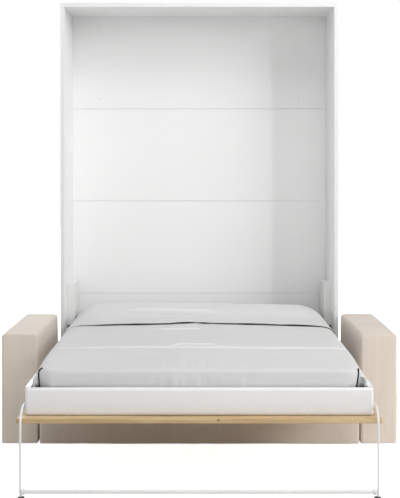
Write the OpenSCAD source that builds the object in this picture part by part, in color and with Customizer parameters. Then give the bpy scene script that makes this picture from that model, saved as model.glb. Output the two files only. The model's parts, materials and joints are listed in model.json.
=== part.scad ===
// Wall bed: a bed that folds up into a tall cabinet, with a sofa standing in front of it.
// Millimetres, +Z up, fronts face -Y. The origin is on the floor under the middle of the whole.

/* [Mattress] */
// Width of the mattress
mattress_w = 1400; // [1200:10:1600]
// Length of the mattress
mattress_l = 2000; // [1900:10:2100]
// Height of the mattress
mattress_h = 165; // [130:5:180]
// Gap between the mattress and a side board
mattress_gap_x = 12; // [10:1:20]
// Gap between the mattress and the foot or head board
mattress_gap_y = 8; // [8:1:14]

/* [Bed frame] */
// Thickness of the side, foot and head boards
frame_t = 22; // [18:1:28]
// Height of the side, foot and head boards
frame_h = 119; // [100:1:140]
// Width of the panel that shows beyond the foot board
end_step = 60; // [50:1:80]
// Thickness of the oak faced panel
panel_t = 18; // [16:1:20]
// Number of boards across the panel
panel_boards = 4; // [3:1:5]
// Gap between two boards of the panel
panel_joint = 1.5; // [1:0.5:3]
// Gap between the panel and a cabinet side
panel_gap = 3; // [2:0.5:6]
// Width of a ledger rail
ledger_w = 22; // [18:1:30]
// Height of a ledger rail
ledger_h = 19; // [16:1:26]
// Width of the centre beam
beam_w = 44; // [30:1:60]
// Number of slats
slats_n = 14; // [10:1:18]
// Width of a slat
slat_w = 63; // [50:1:70]
// Thickness of a slat
slat_t = 8; // [6:0.5:10]
// Width of a batten behind the panel
batten_w = 60; // [40:1:80]
// Thickness of a batten behind the panel
batten_t = 12; // [8:1:14]

/* [Cabinet] */
// Depth of the cabinet
cab_d = 463; // [450:1:520]
// Thickness of the cabinet boards
board_t = 22; // [18:1:28]
// Thickness of the back boards
back_t = 18; // [12:1:20]
// Number of back boards
back_boards = 4; // [3:1:5]
// Width of the groove between two back boards
back_joint = 2; // [1:0.5:4]
// Depth of the groove between two back boards
back_groove = 3; // [2:0.5:6]
// Height of the cabinet floor panel's top
base_top = 58; // [50:1:70]
// Height of the plinth's top edge
plinth_top = 120; // [80:1:125]
// Thickness of the plinth
plinth_t = 18; // [16:1:22]
// Clearance between the closed bed and the top panel
top_gap = 6; // [4:1:12]
// Height of a floor glide
glide_h = 6; // [4:1:10]
// Radius of a floor glide
glide_r = 14; // [10:1:18]
// Distance between wall screws across
wall_screw_dx = 1200; // [800:10:1300]
// Distance between wall screws up the board
wall_screw_dz = 440; // [300:10:460]
// Radius of a wall screw hole
wall_hole_r = 4; // [3:0.5:6]

/* [Pivot] */
// Height of the bed's pivot axis
pivot_z = 415; // [405:1:440]
// Distance of the pivot axis behind the cabinet's front
pivot_in = 100; // [95:1:110]
// Distance from the pivot axis to the head board
head_in = 236; // [220:1:245]
// Radius of the pivot pin
pivot_r = 6; // [5:0.5:8]
// Gap between a side board and the cabinet
side_gap = 30; // [28:1:36]
// Thickness of the bed's hinge plates
hinge_t = 4; // [3:0.5:5]
// Thickness of the plates screwed to the cabinet
plate_t = 2.5; // [2:0.5:3]
// Radial running clearance of pivots
run_c = 0.05; // [0.03:0.01:0.09]

/* [Gas springs] */
// Top pin's distance behind the pivot axis
gas_back = 190; // [180:1:200]
// Top pin's height above the pivot axis
gas_up = 265; // [255:1:280]
// Distance of the lower pin from the pivot axis
lever_r = 75; // [70:1:80]
// Angle of the lower pin above the level with the bed down
lever_a = 25; // [20:1:28]
// Radius of the cylinder
gas_r = 11; // [9:0.5:11]
// Radius of the piston rod
gas_rod_r = 5; // [4:0.5:5]
// Radius of the gas spring's pins
gas_pin_r = 4; // [3:0.5:4.5]
// Length of the cylinder's tube
gas_tube = 172; // [165:1:178]
// Wall of the cylinder's tube
gas_wall = 2; // [1.5:0.5:3]
// Height of a mechanism cover
cover_h = 240; // [235:1:260]
// Depth of a mechanism cover
cover_d = 218; // [205:1:235]
// Width of a mechanism cover
cover_w = 42; // [40:1:48]
// Wall of a mechanism cover
cover_t = 2; // [1.5:0.5:3]

/* [Foot frame] */
// Radius of the bent rod
foot_rod_r = 5; // [4:0.5:6]
// Distance of the foot frame's pivot behind the panel's end
foot_in = 160; // [150:1:200]
// Height of the foot frame's pivot above the panel
foot_up = 42; // [38:1:50]
// Distance of the upright rod in front of the panel's end
foot_ahead = 17; // [15:1:30]
// Bend radius of the rod
foot_bend = 72; // [60:1:80]
// Radius of the crossbar
cross_r = 8; // [6:0.5:10]
// Height of the crossbar's axis
cross_z = 36; // [30:1:80]
// Radius of the crossbar's collars
collar_r = 13; // [11:0.5:16]
// Radius of the foot frame's bolts
foot_bolt_r = 3; // [2.5:0.5:4]
// Height of a floor pad
pad_h = 8; // [6:1:12]
// Radius of a floor pad
pad_r = 15; // [12:1:20]
// Angle by which the rod's foot leans back
lean_a = 50; // [20:1:55]
// Bend radius above the rod's foot
lean_bend = 16; // [12:1:24]

/* [Sofa] */
// Depth of the sofa
sofa_d = 813; // [750:1:900]
// Width of an arm
arm_w = 182; // [150:1:220]
// Height of an arm's top
arm_top = 541; // [480:1:600]
// Gap between the cabinet's outside and an arm
arm_gap = 13; // [10:1:30]
// Seam gap between an arm and the seat
seam = 3; // [2:0.5:5]
// Edge radius of the padding
pad_edge = 24; // [18:1:30]
// Thickness of an arm's padding
arm_pad = 25; // [18:1:30]
// Height of a seat cushion at its edge
cushion_h = 112; // [100:1:116]
// Crown of a seat cushion
cushion_crown = 14; // [8:1:16]
// Clearance between the seat and the lowered bed
seat_gap = 15; // [10:1:25]
// Thickness of the seat frame's boards
seat_board = 22; // [18:1:28]
// Thickness of the seat front's padding
seat_pad = 30; // [20:1:40]
// Thickness of the plates between sofa and cabinet
link_t = 4; // [3:0.5:6]

/* [Bedding] */
// Thickness of the duvet beside the mattress
duvet_side = 5; // [3:0.5:6]
// Thickness of the duvet on top
duvet_t = 12; // [10:1:24]
// Crown of the duvet
duvet_crown = 10; // [6:1:24]
// Drop of the duvet beside the mattress
duvet_drop = 90; // [60:1:100]
// Distance of the turned down edge in front of the cabinet
turn_y = 458; // [400:2:560]
// Thickness of the turned down layer
turn_t = 8; // [6:1:12]
// Height of a pillow
pillow_h = 38; // [30:1:44]
// Width of a pillow
pillow_w = 600; // [560:5:620]
// Length of a pillow
pillow_l = 360; // [320:5:380]

/* [Hidden] */

$fn = 48;
white = [0.90, 0.90, 0.89];
oak = [0.72, 0.60, 0.42];
birch = [0.82, 0.71, 0.54];
steel = [0.66, 0.67, 0.68];
dark_steel = [0.25, 0.26, 0.27];
rubber = [0.16, 0.16, 0.17];
fabric = [0.76, 0.70, 0.64];
bedding = [0.82, 0.83, 0.84];

// Small clearances: soft pieces, seated pieces, and the depth of screws in wood
soft_c = 0.5;
seat_c = 0.3;
hole_c = 0.2;

// Bed, measured across and along
frame_in = mattress_w / 2 + mattress_gap_x;
frame_out = frame_in + frame_t;
cab_in = frame_out + side_gap;
cab_w = 2 * (cab_in + board_t);
foot_in_y = mattress_l + 2 * mattress_gap_y - head_in;
foot_out_y = foot_in_y + frame_t;
panel_reach = foot_out_y + end_step;
head_out_y = head_in + frame_t;
panel_x = cab_in - panel_gap;
cab_h = pivot_z + panel_reach + top_gap + board_t;

// The cabinet's front plane, so that the whole is centred front to back
front_reach = panel_reach - pivot_in + foot_ahead + collar_r;
fy = (front_reach - cab_d) / 2;
back_y = fy + cab_d;
py = fy + pivot_in;
pz = pivot_z;
panel_end = py - panel_reach;

// Bed, measured upwards
panel_z = pz - pivot_in;
frame_z = panel_z + panel_t;
frame_top = frame_z + frame_h;
slat_z = frame_z + ledger_h;
bed_z = slat_z + slat_t;
bed_top = bed_z + mattress_h;
bed_mid_y = py - (foot_in_y - head_in) / 2;

// Back boards
back_n = back_boards;
back_h = (cab_h - board_t - base_top - (back_n - 1) * back_joint) / back_n;
back_front = back_y - back_t;

// Gas spring geometry in the plane of the pivot, as [back, up] from the pivot axis
gas_x = cab_in - plate_t - 0.5 - gas_r;
lever_open = lever_r * [cos(lever_a), sin(lever_a)];
lever_closed = [lever_open.y, -lever_open.x];
gas_top = [gas_back, gas_up];
gas_len = norm(gas_top - lever_open);
gas_len_closed = norm(gas_top - lever_closed);
gas_lean = atan2(gas_top.x - lever_open.x, gas_top.y - lever_open.y);
gas_lean_closed = atan2(gas_top.x - lever_closed.x, gas_top.y - lever_closed.y);
gas_eye_r = 9;
gas_start = 18;
piston_t = 10;
gland_t = 9;
rod_l = gas_len_closed - gas_start - gas_tube + gland_t + piston_t + 4;

// Foot frame
foot_y = panel_end + foot_in;
foot_z = frame_z + foot_up;
rod_x = frame_out + 2 + foot_rod_r;
upright_y = panel_end - foot_ahead;
lean_drop = cross_z - lean_bend * sin(lean_a) - pad_h;
foot_lean = lean_bend * (1 - cos(lean_a)) + lean_drop * tan(lean_a);

// Sofa
sofa_back = fy - link_t;
sofa_front = fy - sofa_d;
arm_x = cab_w / 2 + arm_gap;
seat_x = arm_x - seam;
cushion_top = panel_z - seat_gap;
deck_z = cushion_top - cushion_crown - cushion_h;
seat_y = sofa_front + seat_pad;
arm_z = glide_h;

// Mattress, pillow and duvet outlines
duvet_x = mattress_w / 2 + 1 + duvet_side;
duvet_foot = py - foot_in_y + mattress_gap_y - 1 - duvet_side;
duvet_head = py + head_in - mattress_gap_y + 1 + duvet_side;
pillow_y = py + head_in - mattress_gap_y - pillow_l / 2 - 18;
pillow_x = pillow_w / 2 + 12;

// A box given by its lowest and highest corners
module slab(low, high) {
    translate(low) cube(high - low);
}

// A round bar from a point along +X, +Y or +Z
module bar_x(p, r, l) {
    translate(p) rotate([0, 90, 0]) cylinder(r = r, h = l);
}

module bar_y(p, r, l) {
    translate(p) rotate([-90, 0, 0]) cylinder(r = r, h = l);
}

module bar_z(p, r, l) {
    translate(p) cylinder(r = r, h = l);
}

// The left one of a pair is the right one mirrored
module left() {
    mirror([1, 0, 0]) children();
}

// Points of a rounded rectangle, k steps to a corner and m to a side, sides drawn in by pull
function corner_sign(q) = [[1, 1], [-1, 1], [-1, -1], [1, -1]][q % 4];
function corner_at(q, a, b, r) = [corner_sign(q).x * (a - r), corner_sign(q).y * (b - r)];
function outline_raw(a, b, r, k, m) = [
    for (q = [0:3]) each concat(
        [for (i = [0:k]) corner_at(q, a, b, r) + r * [cos(90 * (q + i / k)), sin(90 * (q + i / k))]],
        [for (j = [1:m - 1]) corner_at(q, a, b, r) * (1 - j / m) + corner_at(q + 1, a, b, r) * j / m
            + r * [cos(90 * (q + 1)), sin(90 * (q + 1))]])
];
function drawn_in(p, a, b, pull) = [
    p.x - pull * p.x / a * (1 - pow(p.y / b, 2)),
    p.y - pull * p.y / b * (1 - pow(p.x / a, 2))
];
function outline(a, b, r, k, m, pull) = [
    for (p = outline_raw(a, b, r, k, m)) drawn_in(p, a, b, pull)
];

// A closed skin over rings of equal count, closed by a fan at each end
module ring_solid(rings, low, high) {
    n = len(rings[0]);
    last = len(rings) - 1;
    points = concat([for (r = rings) each r], [low, high]);
    sides = [for (k = [0:last - 1], i = [0:n - 1]) each let (j = (i + 1) % n)
        [[k * n + i, (k + 1) * n + i, (k + 1) * n + j], [k * n + i, (k + 1) * n + j, k * n + j]]];
    under = [for (i = [0:n - 1]) [n * (last + 1), i, (i + 1) % n]];
    over = [for (i = [0:n - 1]) [n * (last + 1) + 1, last * n + (i + 1) % n, last * n + i]];
    polyhedron(points = points, faces = concat(sides, under, over));
}

// A padded block standing on z = 0: rounded edges, crowned top, sides drawn in
module padded(a, b, h, r, crown, pull, k = 3, m = 4) {
    foot_r = r / 2;
    steps = concat(
        [[foot_r, 0], [0, foot_r]],
        [[0, h * 0.5], [0, h - r]],
        [for (t = [30, 60, 90]) [r - r * cos(t), h - r + r * sin(t)]]);
    edge = [for (s = steps) [for (p = outline(a - s.x, b - s.x, max(1.3 * r - s.x, 0.3 * r), k, m, pull))
        [p.x, p.y, s.y]]];
    inner = [for (f = [0.8, 0.55, 0.28])
        [for (p = outline((a - r) * f, (b - r) * f, 0.3 * r * f, k, m, pull * f))
            [p.x, p.y, h + crown * (1 - f * f)]]];
    ring_solid(concat(edge, inner), [0, 0, 0], [0, 0, h + crown]);
}

// A closed solid between two heights given on a grid of columns and rows
module field_solid(xs, ys, top, low) {
    nx = len(xs);
    ny = len(ys);
    upper = [for (j = [0:ny - 1], i = [0:nx - 1]) [xs[i], ys[j], top[j][i]]];
    lower = [for (j = [0:ny - 1], i = [0:nx - 1]) [xs[i], ys[j], low[j][i]]];
    n = nx * ny;
    over = [for (j = [0:ny - 2], i = [0:nx - 2]) each let (a = j * nx + i)
        [[a, a + nx + 1, a + 1], [a, a + nx, a + nx + 1]]];
    under = [for (j = [0:ny - 2], i = [0:nx - 2]) each let (a = n + j * nx + i)
        [[a, a + 1, a + nx + 1], [a, a + nx + 1, a + nx]]];
    rim = concat(
        [for (i = [0:nx - 1]) i],
        [for (j = [1:ny - 1]) j * nx + nx - 1],
        [for (i = [1:nx - 1]) n - 1 - i],
        [for (j = [1:ny - 2]) n - nx - j * nx]);
    wall = [for (i = [0:len(rim) - 1]) each let (a = rim[i], b = rim[(i + 1) % len(rim)])
        [[a, b, b + n], [a, b + n, a + n]]];
    polyhedron(points = concat(upper, lower), faces = concat(over, under, wall));
}

// Assembly screws through the cabinet sides: into the top, the base panel and the plinth
screw_l = 60;
screw_ys = [fy + 60, fy + cab_d / 2, back_y - 60];
screw_spots = concat(
    [for (y = screw_ys) [y, cab_h - board_t / 2]],
    [for (y = screw_ys) [y, base_top - board_t / 2]],
    [[fy + plinth_t / 2, plinth_top - 15], [fy + plinth_t / 2, plinth_top - 45]]);

module cabinet_screw_set(extra) {
    for (s = [-1, 1], q = screw_spots) {
        tip = s * (cab_w / 2 - 0.5);
        bar_x([s > 0 ? tip - screw_l - extra : tip - extra, q.x, q.y], 2.5 + extra, screw_l + 2 * extra);
        bar_x([s > 0 ? tip - 3 - extra : tip - 1, q.x, q.y], 5 + extra, 4 + extra);
    }
}

module cabinet_screws() {
    color(steel) intersection() {
        cabinet_screw_set(0);
        slab([-cab_w / 2 + 0.5, fy, 0], [cab_w / 2 - 0.5, back_y, cab_h]);
    }
}

module side_panel() {
    color(white) difference() {
        slab([cab_in, fy, glide_h], [cab_w / 2, back_y, cab_h]);
        cabinet_screw_set(hole_c);
    }
}

module top_panel() {
    color(white) difference() {
        slab([-cab_in, fy, cab_h - board_t], [cab_in, back_y, cab_h]);
        cabinet_screw_set(hole_c);
    }
}

module base_panel() {
    color(white) difference() {
        slab([-cab_in, fy + plinth_t, base_top - board_t], [cab_in, back_y, base_top]);
        cabinet_screw_set(hole_c);
    }
}

module plinth() {
    color(white) difference() {
        slab([-cab_in, fy, glide_h], [cab_in, fy + plinth_t, plinth_top]);
        cabinet_screw_set(hole_c);
    }
}

// Centre of the wall screw pattern, on the highest back board
wall_screw_z = cab_h - board_t - back_h / 2;

module wall_screw_spots() {
    for (x = [-1, 1], z = [-1, 1])
        translate([x * wall_screw_dx / 2, 0, wall_screw_z + z * wall_screw_dz / 2]) children();
}

module back_board(i) {
    z = base_top + (i - 1) * (back_h + back_joint);
    color(white) difference() {
        slab([-cab_in, back_front, z], [cab_in, back_y, z + back_h]);
        if (i == back_n) wall_screw_spots() bar_y([0, back_front - 1, 0], wall_hole_r, back_t + 2);
    }
}

module back_joint_strips() {
    color(white) for (i = [1:back_n - 1]) {
        z = base_top + i * back_h + (i - 1) * back_joint;
        slab([-cab_in, back_front + back_groove, z], [cab_in, back_y, z + back_joint]);
    }
}

module wall_screw_caps() {
    color(white) wall_screw_spots() bar_y([0, back_front - 1, 0], wall_hole_r + 2, 1);
}

module cabinet_glides() {
    color(rubber) for (s = [-1, 1], y = [fy + 50, back_y - 50])
        bar_z([s * (cab_in + board_t / 2), y, 0], min(glide_r, board_t / 2), glide_h);
}

// Pivot: a plate on the cabinet side with the pin, and a hinge plate on the bed's side board
plate_half = 55;
pin_tip = frame_in + 4;

module pivot_plate() {
    color(steel) {
        slab([cab_in - plate_t, py - plate_half, pz - plate_half], [cab_in, py + plate_half, pz + 35]);
        bar_x([pin_tip, py, pz], pivot_r, cab_in - pin_tip);
    }
}

eye_half = 5;

module hinge_plate() {
    low = frame_z + 6;
    eye = [frame_out, py + lever_open.x, pz + lever_open.y];
    shoulder = gas_x - eye_half - seat_c - frame_out;
    pin_l = gas_x + eye_half + seat_c - frame_out;
    color(steel) difference() {
        union() {
            slab([frame_out, py - 90, low], [frame_out + hinge_t, py + lever_open.x + 20, frame_top - 6]);
            bar_x(eye, 10, hinge_t);
            bar_x(eye, gas_pin_r + 3, shoulder);
            bar_x(eye, gas_pin_r, pin_l + 1);
            bar_x([frame_out + pin_l, eye.y, eye.z], gas_pin_r + 2.5, 2);
        }
        bar_x([frame_out - 1, py, pz], pivot_r + run_c, hinge_t + 2);
    }
}

module gas_mount() {
    color(steel) slab([cab_in - plate_t, py + gas_back - 30, pz + gas_up - 34],
        [cab_in, py + gas_back + 30, pz + gas_up + 15]);
}

// Cover round the gas spring: open below and towards the cabinet side
cover_y = py + 62;
cover_z = pz + 45;

module gas_cover() {
    x = cab_in - cover_w;
    color(white) difference() {
        slab([x, cover_y, cover_z], [cab_in, cover_y + cover_d, cover_z + cover_h]);
        slab([x + cover_t, cover_y + cover_t, cover_z - 1],
            [cab_in + 1, cover_y + cover_d - cover_t, cover_z + cover_h - cover_t]);
    }
}

// The gas spring stands along its own axis: z = 0 is the top pin and the rod points down
module on_gas_axis(side = 1) {
    translate([side * gas_x, py + gas_back, pz + gas_up]) rotate([-gas_lean, 0, 0]) children();
}

module gas_cylinder(side) {
    pin_l = cab_in - plate_t - seat_c - gas_x - eye_half;
    color(dark_steel) on_gas_axis(side) difference() {
        union() {
            bar_x([-eye_half, 0, 0], gas_eye_r, 2 * eye_half);
            bar_x([side > 0 ? eye_half - 1 : -eye_half - pin_l, 0, 0], gas_pin_r, pin_l + 1);
            bar_z([0, 0, -gas_start - 2], 5, gas_start - 4);
            bar_z([0, 0, -gas_start - gas_tube], gas_r, gas_tube);
        }
        bar_z([0, 0, -gas_start - gas_tube + gland_t], gas_r - gas_wall, gas_tube - gland_t - 6);
        bar_z([0, 0, -gas_start - gas_tube - 1], gas_rod_r + run_c, gland_t + 2);
    }
}

module gas_rod(side) {
    color(steel) on_gas_axis(side) translate([0, 0, -gas_len]) difference() {
        union() {
            bar_x([-eye_half, 0, 0], gas_eye_r, 2 * eye_half);
            bar_z([0, 0, 6], gas_rod_r, rod_l - 6);
            bar_z([0, 0, rod_l - piston_t], gas_r - gas_wall - run_c, piston_t);
        }
        bar_x([-eye_half - 1, 0, 0], gas_pin_r + run_c, 2 * eye_half + 2);
    }
}

// Bed panel, its boards numbered from the head end
board_l = (panel_reach + head_out_y - (panel_boards - 1) * panel_joint) / panel_boards;

module front_board(i) {
    y = py + head_out_y - (i - 1) * (board_l + panel_joint);
    color(oak) slab([-panel_x, y - board_l, panel_z], [panel_x, y, frame_z]);
}

module panel_battens() {
    color(birch) for (i = [1:panel_boards - 1], s = [-1, 1]) {
        y = py + head_out_y - i * (board_l + panel_joint) + panel_joint / 2;
        slab([s > 0 ? beam_w / 2 + 5 : -frame_in + ledger_w + 5, y - batten_w / 2, frame_z],
            [s > 0 ? frame_in - ledger_w - 5 : -beam_w / 2 - 5, y + batten_w / 2, frame_z + batten_t]);
    }
}

module frame_side() {
    color(white) difference() {
        slab([frame_in, py - foot_in_y, frame_z], [frame_out, py + head_in, frame_top]);
        bar_x([frame_in - 1, py, pz], pivot_r + seat_c, frame_t + 2);
        bar_x([frame_in - 1, foot_y, foot_z], foot_bolt_r + hole_c, frame_t + 2);
    }
}

module foot_board() {
    color(white) slab([-frame_out, py - foot_out_y, frame_z], [frame_out, py - foot_in_y, frame_top]);
}

module head_board() {
    color(white) slab([-frame_out, py + head_in, frame_z], [frame_out, py + head_out_y, frame_top]);
}

module ledger() {
    color(birch) slab([frame_in - ledger_w, py - foot_in_y + 20, frame_z],
        [frame_in, py + head_in - 20, slat_z]);
}

module centre_beam() {
    color(birch) slab([-beam_w / 2, py - foot_in_y, frame_z], [beam_w / 2, py + head_in, slat_z]);
}

// Slats sit in end caps on the ledgers
cap_t = 1.5;
cap_l = 30;
slat_tip = frame_in - 3;
slat_pitch = (foot_in_y + head_in - 60 - slat_w) / (slats_n - 1);
slat_y = py - foot_in_y + 30;

module slats() {
    color(birch) for (i = [0:slats_n - 1])
        slab([-slat_tip + cap_t, slat_y + i * slat_pitch, slat_z + cap_t],
            [slat_tip - cap_t, slat_y + i * slat_pitch + slat_w, slat_z + slat_t - cap_t]);
}

module slat_caps() {
    color(rubber) for (i = [0:slats_n - 1], s = [0, 1]) mirror([s, 0, 0]) {
        y = slat_y + i * slat_pitch;
        difference() {
            slab([slat_tip - cap_l, y - 2, slat_z], [slat_tip, y + slat_w + 2, slat_z + slat_t]);
            slab([slat_tip - cap_l - 1, y, slat_z + cap_t], [slat_tip - cap_t, y + slat_w, slat_z + slat_t - cap_t]);
        }
    }
}

// Steel angles in the corners of the bed frame
module corner_brackets() {
    t = 2;
    l = 40;
    low = slat_z + slat_t + 4;
    high = frame_top - 10;
    color(steel) for (s = [0, 1], e = [0, 1]) mirror([s, 0, 0]) {
        y = e == 0 ? py - foot_in_y : py + head_in - t;
        slab([frame_in - t, e == 0 ? y : y - l + t, low], [frame_in, e == 0 ? y + l : y + t, high]);
        slab([frame_in - l, y, low], [frame_in - t, y + t, high]);
    }
}

// Foot frame: a bent rod at each side, turning on bolts in the side boards
module foot_bolts() {
    head_x = rod_x + 3 + seat_c;
    color(steel) for (s = [0, 1]) mirror([s, 0, 0]) {
        bar_x([frame_in, foot_y, foot_z], foot_bolt_r, head_x - frame_in);
        bar_x([head_x, foot_y, foot_z], foot_bolt_r + 3, 3);
        bar_x([frame_in - 3, foot_y, foot_z], foot_bolt_r + 2.5, 3);
    }
}

module foot_arm() {
    run_y = foot_y - upright_y - foot_bend;
    drop = foot_z - foot_bend - cross_z;
    color(white) difference() {
        union() {
            bar_x([rod_x - 3, foot_y, foot_z], foot_rod_r + 4, 6);
            bar_y([rod_x, foot_y - run_y, foot_z], foot_rod_r, run_y - foot_rod_r - 3);
            elbow([rod_x, upright_y + foot_bend, foot_z - foot_bend], foot_bend, 90, 90);
            bar_z([rod_x, upright_y, cross_z], foot_rod_r, drop);
            elbow([rod_x, upright_y + lean_bend, cross_z], lean_bend, 180, lean_a);
            on_lean_axis() cylinder(r = foot_rod_r, h = lean_drop / cos(lean_a));
        }
        bar_x([rod_x - 4, foot_y, foot_z], foot_bolt_r + run_c, 8);
    }
}

// The rod's lower end leans back to its pad: a short bend, then straight into the pad
module on_lean_axis() {
    translate([rod_x, upright_y + lean_bend * (1 - cos(lean_a)), cross_z - lean_bend * sin(lean_a)])
        rotate([180 + lean_a, 0, 0]) children();
}

// Part of a ring of rod in the plane x = at.x, from an angle, where 180 is towards -Y and 90 is up
module elbow(at, r, from, sweep) {
    translate(at) rotate([90, 0, 90]) rotate([0, 0, from]) rotate_extrude(angle = sweep)
        translate([r, 0]) circle(foot_rod_r);
}

cross_tip = rod_x - foot_rod_r - 0.2;

module foot_crossbar() {
    color(white) {
        bar_x([-cross_tip, upright_y, cross_z], cross_r, 2 * cross_tip);
        for (s = [0, 1]) mirror([s, 0, 0]) bar_x([cross_tip - 14, upright_y, cross_z], collar_r, 10);
    }
}

module foot_pads() {
    color(rubber) for (s = [0, 1]) mirror([s, 0, 0]) difference() {
        bar_z([rod_x, upright_y + foot_lean, 0], pad_r, pad_h);
        on_lean_axis() cylinder(r = foot_rod_r + hole_c, h = lean_drop / cos(lean_a) + hole_c);
    }
}

// Sofa: padded arms over board frames, and a seat that runs between them
module arm_frame() {
    x0 = arm_x + arm_pad;
    x1 = arm_x + arm_w - arm_pad;
    y0 = sofa_front + arm_pad;
    y1 = fy - arm_pad;
    z1 = arm_top - arm_pad - 8;
    color(birch) difference() {
        slab([x0, y0, arm_z], [x1, y1, z1]);
        slab([x0 + 18, y0 + 18, arm_z - 1], [x1 - 18, y1 - 18, z1 - 18]);
        arm_bolt_set(hole_c);
    }
}

module sofa_arm() {
    x = arm_x + arm_w / 2;
    y = (sofa_front + fy) / 2;
    crown = 6;
    color(fabric) difference() {
        translate([x, y, arm_z])
            padded(arm_w / 2, sofa_d / 2, arm_top - arm_z - crown, pad_edge, crown, 3, 3, 5);
        slab([arm_x + arm_pad - seat_c, sofa_front + arm_pad - seat_c, arm_z - 1],
            [arm_x + arm_w - arm_pad + seat_c, fy - arm_pad + seat_c, arm_top - arm_pad - 8 + seat_c]);
        arm_bolt_set(hole_c);
    }
}

// Bolts from the seat frame's sides into the arm frames
bolt_ys = [sofa_front + 180, sofa_back - 160];
bolt_z = arm_z + 80;

module arm_bolt_set(extra) {
    for (s = [0, 1], y = bolt_ys) mirror([s, 0, 0]) {
        bar_x([seat_x - seat_board - 4, y, bolt_z], 4 + extra, arm_x + arm_pad + 25 - seat_x + seat_board);
        bar_x([seat_x - seat_board - 5 - extra, y, bolt_z], 8 + extra, 5 + extra);
    }
}

module seat_frame() {
    color(birch) difference() {
        slab([-seat_x, seat_y, arm_z], [seat_x, sofa_back, deck_z - strap_t]);
        slab([-seat_x + seat_board, seat_y + seat_board, arm_z - 1],
            [seat_x - seat_board, sofa_back - seat_board, deck_z]);
        arm_bolt_set(hole_c);
    }
    color(birch) slab([-20, seat_y + seat_board, arm_z], [20, sofa_back - seat_board, deck_z - 30]);
}

// Padded front of the seat, in one piece from arm to arm
module seat_front() {
    h = deck_z - arm_z - 1;
    color(fabric) translate([0, seat_y - soft_c, arm_z + h / 2]) rotate([90, 0, 0])
        padded(seat_x - soft_c, h / 2, seat_pad - soft_c - 4, 14, 4, 1, 3, 8);
}

// Elastic straps across the seat frame carry the cushions
strap_n = 14;
strap_w = 60;
strap_t = 2;

module seat_straps() {
    pitch = (2 * seat_x - 120 - strap_w) / (strap_n - 1);
    color(fabric) for (i = [0:strap_n - 1]) {
        x = -seat_x + 60 + i * pitch;
        slab([x, seat_y + 4, deck_z - strap_t], [x + strap_w, sofa_back - 4, deck_z]);
    }
}

module seat_cushion() {
    w = seat_x - 8;
    d = sofa_back - sofa_front - 8;
    color(fabric) translate([w / 2 + 2, sofa_front + 4 + d / 2, deck_z + seat_c])
        padded(w / 2, d / 2, cushion_h - 2 * soft_c, pad_edge, cushion_crown, 5, 3, 5);
}

// Glides, arm bolts and the plates that join the seat frame to the cabinet sides
module sofa_hardware() {
    color(rubber) for (s = [-1, 1], y = [sofa_front + 60, sofa_back - 60]) {
        bar_z([s * (arm_x + arm_pad + 9), y, 0], 8, glide_h);
        bar_z([s * (seat_x - seat_board / 2), y, 0], 10, glide_h);
    }
    color(rubber) for (y = [sofa_front + 90, sofa_back - 90]) bar_z([0, y, 0], 14, glide_h);
    color(dark_steel) arm_bolt_set(0);
    color(steel) for (s = [0, 1]) mirror([s, 0, 0])
        slab([cab_in + 1, sofa_back, arm_z + 40], [seat_x - 6, fy, arm_z + 120]);
}

// Bedding
module mattress() {
    b = mattress_l / 2;
    color(bedding) translate([0, bed_mid_y, bed_z + seat_c])
        padded(mattress_w / 2, b, mattress_h - seat_c - 6, 22, 6, 1, 3, 5);
}

function pillow_rise(x, y) = let (
    dx = max(0, abs(x) - 2 * pillow_x + 22) / (slope_l / 2),
    dy = max(0, abs(y - pillow_y) - pillow_l / 2 - 8) / slope_l)
    (pillow_h + 4) * max(0, 1 - dx * dx) * max(0, 1 - dy * dy);

module pillow() {
    crown = pillow_h * 0.4;
    color(bedding) translate([pillow_x, pillow_y, bed_top + soft_c])
        padded(pillow_w / 2, pillow_l / 2, pillow_h - crown, 11, crown - soft_c, 14, 3, 4);
}

// Distance in from the duvet's edge
function rim_in(x, y, a, y0, y1) = min(a - abs(x), y - y0, y1 - y);
// How far the duvet's top lies below its middle near the edge
function rim_fall(d, r) = d >= r ? 0 : r * (1 - sqrt(1 - pow(1 - d / r, 2)));

duvet_r = 26;
duvet_steps = [0, duvet_side, duvet_side + 0.6, 16, duvet_r, 60];
duvet_xs = concat([for (d = duvet_steps) -duvet_x + d], [for (t = [-0.75, -0.5, -0.25, 0, 0.25, 0.5, 0.75])
    t * (duvet_x - 60)], [for (i = [5:-1:0]) duvet_x - duvet_steps[i]]);
// Rows lie closer at the two soft folds across the bed
fold_a = fy - 1197;
fold_b = fy - 860;
fold_a_w = 34;
fold_b_w = 50;
middle_y = fy - 560;
turn_back_y = fy - turn_y + 78;
slope_l = 110;
pillow_edge = pillow_y - pillow_l / 2 - 8;
pillow_rows = [pillow_edge - slope_l, pillow_edge - slope_l / 2, pillow_edge, pillow_y - pillow_l / 4,
    pillow_y + pillow_l / 6];
duvet_ys = concat([for (d = duvet_steps) duvet_foot + d],
    [fold_a - 5 * fold_a_w, fold_a - fold_a_w, fold_a, fold_a + fold_a_w, fold_b - fold_b_w, fold_b,
        fold_b + fold_b_w, middle_y, turn_back_y],
    pillow_rows, [for (i = [4:-1:0]) duvet_head - duvet_steps[i]]);

function fold(y, at, w, h) = h * exp(-pow((y - at) / w, 2));
function duvet_under(x, y) = bed_top + 1 + pillow_rise(x, y);
function duvet_over(x, y) = let (d = rim_in(x, y, duvet_x, duvet_foot, duvet_head))
    duvet_under(x, y) + duvet_t - rim_fall(d, duvet_r)
    + duvet_crown * (1 - pow(x / duvet_x, 2)) * min(1, d / 150)
    + (fold(y, fold_a, fold_a_w, 7) + fold(y, fold_b, fold_b_w, 4)) * min(1, d / 40);
function duvet_low(x, y) = rim_in(x, y, duvet_x, duvet_foot, duvet_head) <= duvet_side + 0.01
    ? bed_top - duvet_drop : duvet_under(x, y);

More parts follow.
